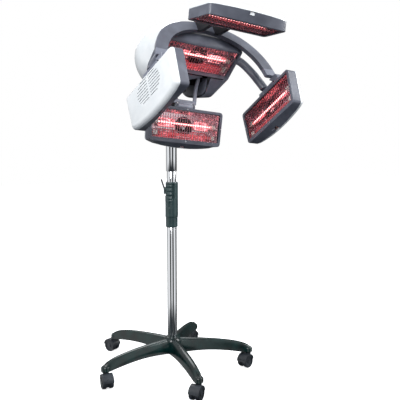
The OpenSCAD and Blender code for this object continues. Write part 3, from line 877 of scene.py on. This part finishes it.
def hoop_foot(s, name):
    """The casting that carries a side panel's hinge, drawn in that panel's frame."""
    rows = []
    for y, low, high, near, far in ((-40, -26, 0, -79, -38), (-33, -26, -6, -78, -44),
                                    (-27, -25.5, -10, -76, -55), (-20, -25.5, -10.5, -74, -55.5),
                                    (-14, -22, -14, -73, -56)):
        rows.append([(s * near, y, low), (s * far, y, low), (s * far, y, high), (s * near, y, high)])
    bm = bmesh.new()
    loft(bm, rows, first=True, last=True)
    place = HEAD @ side_place(s)
    # The foot's paler ABS is partly painted light
    piece(bm, f"{name}_hoop_foot", "head", joint_abs_painted_lighter, place, (), 2.0, 3, angle=30)


def hoop_branch(s, name):
    """The round arm from the housing to a side panel's hinge."""
    stops = [(136, -186, 1204), (160, -216, 1186), (184, -250, 1152), (207, -268, 1122)]
    route = [Vector((s * x, y, z)) for x, y, z in stops]
    route.append(side_place(s) @ Vector((s * 9, -30, -15)))
    bm = bmesh.new()
    sweep(bm, smooth_path(route, 8), [(a * 1.15, b) for a, b in circle(13, 28)], up=(0, 1, 0))
    cut_at(bm, side_place(s), HOOP_END_Y, True)
    bmesh.ops.holes_fill(bm, edges=bm.edges, sides=0)
    piece(bm, f"{name}_hoop_branch", "head", gray_abs, HEAD, (), angle=60)


def hoop():
    """The strap, then both feet, then both branches."""
    hoop_band()
    for make in (hoop_foot, hoop_branch):
        for s, name in SIDES:
            make(s, name)


def top_bracket():
    """The two arms, the barrel and the pin that carry the top panel."""
    bm = bmesh.new()
    shape = [(-342, 1274), (-342, 1284), (-240, 1306), (-205, 1306), (-196, 1290), (-216, 1262), (-250, 1256)]
    for s in (-1, 1):
        plate(bm, shape, 13, shift(s * 34, 0, 0) @ turn(90, "Z") @ turn(90, "X"))
    piece(bm, "top_bracket_arms", "head", black_acetal, HEAD, ["top_bracket"], 1.6, 3)
    bm = bmesh.new()
    rod(bm, BARREL_R, 42, shift(0, HINGE_Y, HINGE_Z), 40)
    piece(bm, "top_hinge_barrel", "head", black_acetal, PANELS["top"], (), 0.8, 2)
    bm = bmesh.new()
    rod(bm, PIN_R, 50.4, shift(0, HINGE_Y, HINGE_Z), 32)
    piece(bm, "top_hinge_pin", "head", zinc, PANELS["top"], (), 0.5, 2)


def nape_fork():
    """The two-armed link of the nape panel, with its barrel and pin."""
    bm = bmesh.new()
    for s in (-1, 1):
        stops = [(40, 1024), (40, 1060), (41, 1088), (46, 1112), (47, 1127)]
        line = smooth_path([(s * x, -112, z) for x, z in stops], 6)
        sweep(bm, line, [(-6, -5), (6, -5), (6, 5), (-6, 5)], up=(0, 1, 0))
    brick(bm, (-45.2, -116.6, 1027), (45.2, -107.4, 1038))
    brick(bm, (-26, -121, 1014), (26, -109, 1028))
    piece(bm, "nape_fork_arms", "nape_link", pale_abs, HEAD, ["nape_fork"], 1.8, 3)
    bm = bmesh.new()
    rod(bm, BARREL_R, 30, shift(0, HINGE_Y, HINGE_Z), 40)
    piece(bm, "nape_hinge_barrel", "nape_link", pale_abs, PANELS["nape"], (), 0.8, 2)
    bm = bmesh.new()
    rod(bm, PIN_R, 38.4, shift(0, HINGE_Y, HINGE_Z), 32)
    piece(bm, "nape_hinge_pin", "nape_link", zinc, PANELS["nape"], (), 0.5, 2)


hoop()
top_bracket()
nape_fork()

# ---- Stand ----


def arm_top(r):
    """The height of an arm's ridge at r from the column."""
    return HUB_TOP - 7 - 21 * (r / STAR_R) ** 2 - 12 * (r / STAR_R) ** 9


def arm_low(r):
    """The height of an arm's underside at r from the column."""
    return 62 - 5 * r / STAR_R + 14 * sin(pi * min(r / STAR_R, 1))


def star_base():
    """Five drooping arms with a flat ridge and round flanks on one spun hub, with a boss at each tip."""
    section = [(0.0, 1.0), (0.3, 0.995), (0.44, 0.955), (0.6, 0.84), (0.78, 0.62), (0.92, 0.36), (1.0, 0.08),
               (0.985, 0.0), (0.86, 0.0), (0.5, 0.0)]
    bm = bmesh.new()
    for i in range(5):
        swing = turn(STAR_TURN + 72 * i, "Z")
        loops = []
        for j in range(33):
            share = j / 32
            r = 18 + (STAR_R - 1) * share ** 0.9
            tip = max(0.0, (r - 288) / 29.2)
            half = (27 - 10 * min(r, 304) / 304) * sqrt(max(0.02, 1 - tip * tip))
            top = arm_top(r) - 5 * tip * tip
            low = arm_low(r)
            right = [(w * half, low + h * (top - low)) for w, h in section]
            left = [(-w, z) for w, z in reversed(right[1:])]
            loops.append([swing @ Vector((r, w, z)) for w, z in right + left])
        loft(bm, loops, first=True, last=True)
    piece(bm, "star_arms", "base", base_nylon, HERE, ["star_base"], 1.0, 2, angle=50)
    bm = bmesh.new()
    turned(bm, [(19.2, 62), (35, 62), (38, 64), (38, 104), (37.4, 110), (34, 116.5), (27, 122), (23, 124.4),
                (19.2, HUB_TOP)])
    for i in range(5):
        spot = turn(STAR_TURN + 72 * i, "Z") @ shift(STAR_R, 0, 0)
        turned(bm, [(0, 57), (15, 57), (17, 58.6), (17, 70), (15.6, 74), (12, 77), (0, 78)], spot, 40)
    piece(bm, "star_hub", "base", base_nylon, HERE, (), angle=40)


def in_field(angle, middle, half, soft):
    """How far an angle in degrees lies inside a band, from 0 to 1 with soft edges."""
    off = abs((angle - middle + 180) % 360 - 180)
    return min(max((half - off) / soft + 0.5, 0), 1)


def span(z, low, high, soft):
    """How far z lies inside a range, from 0 to 1 with soft ends."""
    return min(max((z - low) / soft, 0), 1) * min(max((high - z) / soft, 0), 1)


CLAMP_LOW = 560
CLAMP_HIGH = 734
CLAMP_R = 24.9
LEVER_ANGLE = 152

# Hollows in the clamp's skin: depth, then middle, half width and softness in degrees, then low, high and
# softness in z. They are the recess beside the thumb pad, the dish under it and the lever's pocket.
CLAMP_HOLLOWS = [(6.0, 259, 10, 3, 668, 729, 3),
                 (2.2, 222, 9, 5, 634, 657, 4),
                 (6.3, LEVER_ANGLE, 22, 3, 680, 760, 2)]
PAD_LOW = 664
PAD_HIGH = 727
PAD_RIB = 15.75


def clamp():
    """The height clamp: a round sleeve with a ribbed thumb pad, a recess beside it and a lever's pocket."""
    bm = bmesh.new()
    made = bmesh.ops.create_grid(bm, x_segments=120, y_segments=116, size=0.5)
    for v in made["verts"]:
        angle = (v.co.x + 0.5) * 360
        z = CLAMP_LOW + (v.co.y + 0.5) * (CLAMP_HIGH - CLAMP_LOW)
        radius = CLAMP_R - 1.9 * (1 - min(max((z - 596) / 8, 0), 1))
        radius -= 3.0 * max(0, (z - CLAMP_HIGH + 4) / 4) ** 2 + 2.0 * max(0, (CLAMP_LOW + 3 - z) / 3) ** 2
        pad = in_field(angle, 214, 34, 6) * span(z, PAD_LOW, PAD_HIGH, 4)
        ribs = 0.5 - 0.5 * cos(2 * pi * (z - PAD_LOW) / PAD_RIB)
        radius -= 2.6 * pad * (1 - ribs) + 0.3 * (1 - pad)
        for depth, middle, half, soft, low, high, fade in CLAMP_HOLLOWS:
            radius -= depth * in_field(angle, middle, half, soft) * span(z, low, high, fade)
        radius -= 0.54 * (1 - in_field(angle, 300, 38, 3)) * span(z, 604, 660, 3)
        v.co = Vector((radius * cos(radians(angle)), radius * sin(radians(angle)), z))
    bmesh.ops.remove_doubles(bm, verts=bm.verts, dist=0.01)
    rims = [e for e in bm.edges if e.is_boundary]
    for level, inner in ((CLAMP_LOW, 19.06), (CLAMP_HIGH, 17.6)):
        ring = [e for e in rims if all(abs(v.co.z - level) < 1 for v in e.verts)]
        grown = bmesh.ops.extrude_edge_only(bm, edges=ring)["geom"]
        for v in [g for g in grown if isinstance(g, bmesh.types.BMVert)]:
            flat = Vector((v.co.x, v.co.y, 0)).normalized() * inner
            v.co = Vector((flat.x, flat.y, v.co.z))
    piece(bm, "height_clamp", "base", clamp_nylon, HERE, ["clamp_body"], angle=48)
    bm = bmesh.new()
    for s in (-1, 1):
        brick(bm, (15, s * 12 - 3, 689), (29.6, s * 12 + 3, 713), turn(LEVER_ANGLE, "Z"))
    piece(bm, "lever_lugs", "base", clamp_nylon, HERE, (), 2.0, 3)


def tube(name, node, body, r, low, high, inner):
    """A chromed tube with softened ends."""
    bm = bmesh.new()
    profile = [(inner, low), (r - 0.5, low), (r, low + 0.6), (r, high - 0.6), (r - 0.5, high), (inner, high),
               (inner, low)]
    turned(bm, profile, HERE, 96)
    piece(bm, name, body, chrome, HERE, [node], angle=50)


star_base()
clamp()
tube("outer_column", "outer_tube", "base", 19.0, 62, 600, 17.55)
tube("inner_column", "inner_tube", "mast", 17.42, 330, 860, 16.0)
tube("head_socket", "socket_tube", "mast", 20.5, 775, 1000, 17.45)

# ---- Small fittings ----


def mains_fittings():
    """The inlet's three blades and the rocker's key."""
    bm = bmesh.new()
    for x, z in ((-11, 1171), (-16, 1162), (-6, 1162)):
        brick(bm, (x - 1, 66, z - 2), (x + 1, 84, z + 2))
    piece(bm, "inlet_blades", "head", zinc, HEAD, (), 0.4, 2)
    bm = bmesh.new()
    key = [(60.5, 1156.5), (84, 1156.5), (87.6, 1158.5), (85.4, 1167), (83.6, 1177.5), (60.5, 1177.5)]
    loft(bm, [[(x, y, z) for y, z in key] for x in (4.4, 21.6)], first=True, last=True)
    piece(bm, "rocker_key", "rocker", black_acetal, HEAD, ["rocker_switch"], 0.9, 3)


mains_fittings()

# ---- Materials of the CAD pieces that stay ----

KEPT = [
    (castor_pp, [f"castor_fork_{i}" for i in range(1, 6)] + [f"castor_wheels_{i}" for i in range(1, 6)]),
    (black_acetal, ["clamp_lever", "neck_fork", "cross_block", "power_inlet", "chassis"]),
    (zinc, ["roll_pin", "tilt_pin"]),
    # The knuckles take the paler ABS, which is partly painted light
    (joint_abs_painted_lighter, ["left_knuckle", "right_knuckle"]),
]
for finish, names in KEPT:
    for name in names:
        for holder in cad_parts[name].material_slots:
            holder.material = finish
        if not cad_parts[name].material_slots:
            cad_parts[name].data.materials.append(finish)

# ---- Floor, light and camera ----


WHITE = (1.0, 1.0, 1.0, 1.0)


def mix(tree, factor, first, second):
    """The colour between first and second. Input 0 is the factor, 6 and 7 are the colours."""
    return add(tree, "ShaderNodeMix", {0: factor, 6: first, 7: second}, data_type="RGBA").outputs[2]


def floor_paint():
    """A white cyclorama: it glows a little to the eye, so that it runs on into the backdrop. It throws
    little light up.
    """
    made, tree, shader, place = new_material("matt_white_cyclorama", Roughness=0.9)
    rays = add(tree, "ShaderNodeLightPath")
    shade = between(tree, mottle(tree, place, 400, 0.3, 0.7, 0, 1), "#f8f8f8", "#fdfdfd")
    seen = mix(tree, rays.outputs["Is Camera Ray"], linear("#505358"), shade)
    tree.links.new(seen, shader.inputs["Base Color"])
    glow = add(tree, "ShaderNodeMath", {0: rays.outputs["Is Camera Ray"], 1: 0.62}, operation="MULTIPLY")
    shader.inputs["Emission Color"].default_value = WHITE
    tree.links.new(glow.outputs["Value"], shader.inputs["Emission Strength"])
    return made


bm = bmesh.new()
bmesh.ops.create_grid(bm, x_segments=4, y_segments=4, size=8.0)
floor_mesh = bpy.data.meshes.new("studio_floor")
bm.to_mesh(floor_mesh)
bm.free()
floor = bpy.data.objects.new("studio_floor", floor_mesh)
bpy.context.scene.collection.objects.link(floor)
floor_mesh.materials.append(floor_paint())
floor.visible_glossy = False

# The studio is white to the eye and pale gray for soft light. Glossy skins mirror its upright screens and the
# dark gaps between them: each pair is a share of the turn round the object and the brightness there.
SCREENS = [(0.0, 1.0), (0.03, 1.0), (0.045, 0.06), (0.115, 0.06), (0.14, 1.0), (0.19, 1.0), (0.21, 0.05),
           (0.28, 0.05), (0.315, 1.0), (0.41, 1.0), (0.44, 0.08), (0.66, 0.1), (0.71, 0.42), (0.86, 0.5),
           (0.9, 1.0), (1.0, 1.0)]


def studio():
    """The world: what the camera sees, what glossy skins mirror and what lights the rest."""
    world = bpy.data.worlds.new("studio")
    bpy.context.scene.world = world
    world.use_nodes = True
    tree = world.node_tree
    tree.nodes.clear()
    ray = add(tree, "ShaderNodeTexCoord").outputs["Generated"]
    towards = add(tree, "ShaderNodeSeparateXYZ", {"Vector": ray}).outputs
    angle = add(tree, "ShaderNodeMath", {0: towards["Y"], 1: towards["X"]}, operation="ARCTAN2")
    share = add(tree, "ShaderNodeMapRange",
                {"Value": angle.outputs["Value"], "From Min": -pi, "From Max": pi})
    ramp = add(tree, "ShaderNodeValToRGB", {"Fac": share.outputs["Result"]})
    stops = ramp.color_ramp.elements
    stops[1].position = 0.5
    for place, value in SCREENS[1:-1]:
        stops.new(place)
    while len(stops) > len(SCREENS):
        stops.remove(stops[len(stops) // 2])
    for stop, (place, value) in zip(stops, SCREENS):
        stop.position = place
        stop.color = (value, value, value, 1.0)
    rise = add(tree, "ShaderNodeMapRange", {"Value": towards["Z"], "From Min": 0.3, "From Max": 0.8})
    drop = add(tree, "ShaderNodeMapRange", {"Value": towards["Z"], "From Min": -0.42, "From Max": -0.62})
    above = mix(tree, rise.outputs["Result"], ramp.outputs["Color"], linear("#e8e8e8"))
    mirrored = mix(tree, drop.outputs["Result"], above, linear("#34373a"))
    rays = add(tree, "ShaderNodeLightPath").outputs
    soft = mix(tree, rays["Is Camera Ray"], linear("#c8ccd2"), WHITE)
    both = mix(tree, rays["Is Glossy Ray"], soft, mirrored)
    back = add(tree, "ShaderNodeBackground", {"Color": both, "Strength": 1.0})
    tree.links.new(back.outputs["Background"], add(tree, "ShaderNodeOutputWorld").inputs["Surface"])


studio()


def soft_box(name, spot, aim, size, size_y, power, mirrored=True):
    """A rectangular softbox that points at aim, sizes in metres and power in watts."""
    data = bpy.data.lights.new(name, "AREA")
    data.shape = "RECTANGLE"
    data.size = size
    data.size_y = size_y
    data.energy = power
    lamp = bpy.data.objects.new(name, data)
    lamp.visible_glossy = mirrored
    bpy.context.scene.collection.objects.link(lamp)
    lamp.location = spot
    lamp.rotation_euler = (Vector(aim) - Vector(spot)).to_track_quat("-Z", "Y").to_euler()


soft_box("key_box", (-1.9, -1.7, 2.6), (0, -0.1, 0.9), 1.2, 1.8, 68)
soft_box("fill_box", (2.6, -1.2, 2.3), (0, -0.1, 0.9), 0.9, 1.8, 62)
soft_box("front_box", (0.5, -2.9, 1.5), (0, 0, 1.1), 1.0, 1.0, 12, mirrored=False)
soft_box("back_box", (0.8, 2.2, 2.4), (0, 0, 1.0), 1.4, 1.4, 22)

view = bpy.data.cameras.new("view")
view.lens = 53.95
view.sensor_width = 36
camera = bpy.data.objects.new("view", view)
bpy.context.scene.collection.objects.link(camera)
camera.location = (-1.0606, -2.0262, 0.9360)
camera.rotation_euler = Euler((radians(90 - 6.79), 0, radians(-30.36)))
bpy.context.scene.camera = camera
bpy.context.scene.view_settings.view_transform = "Standard"
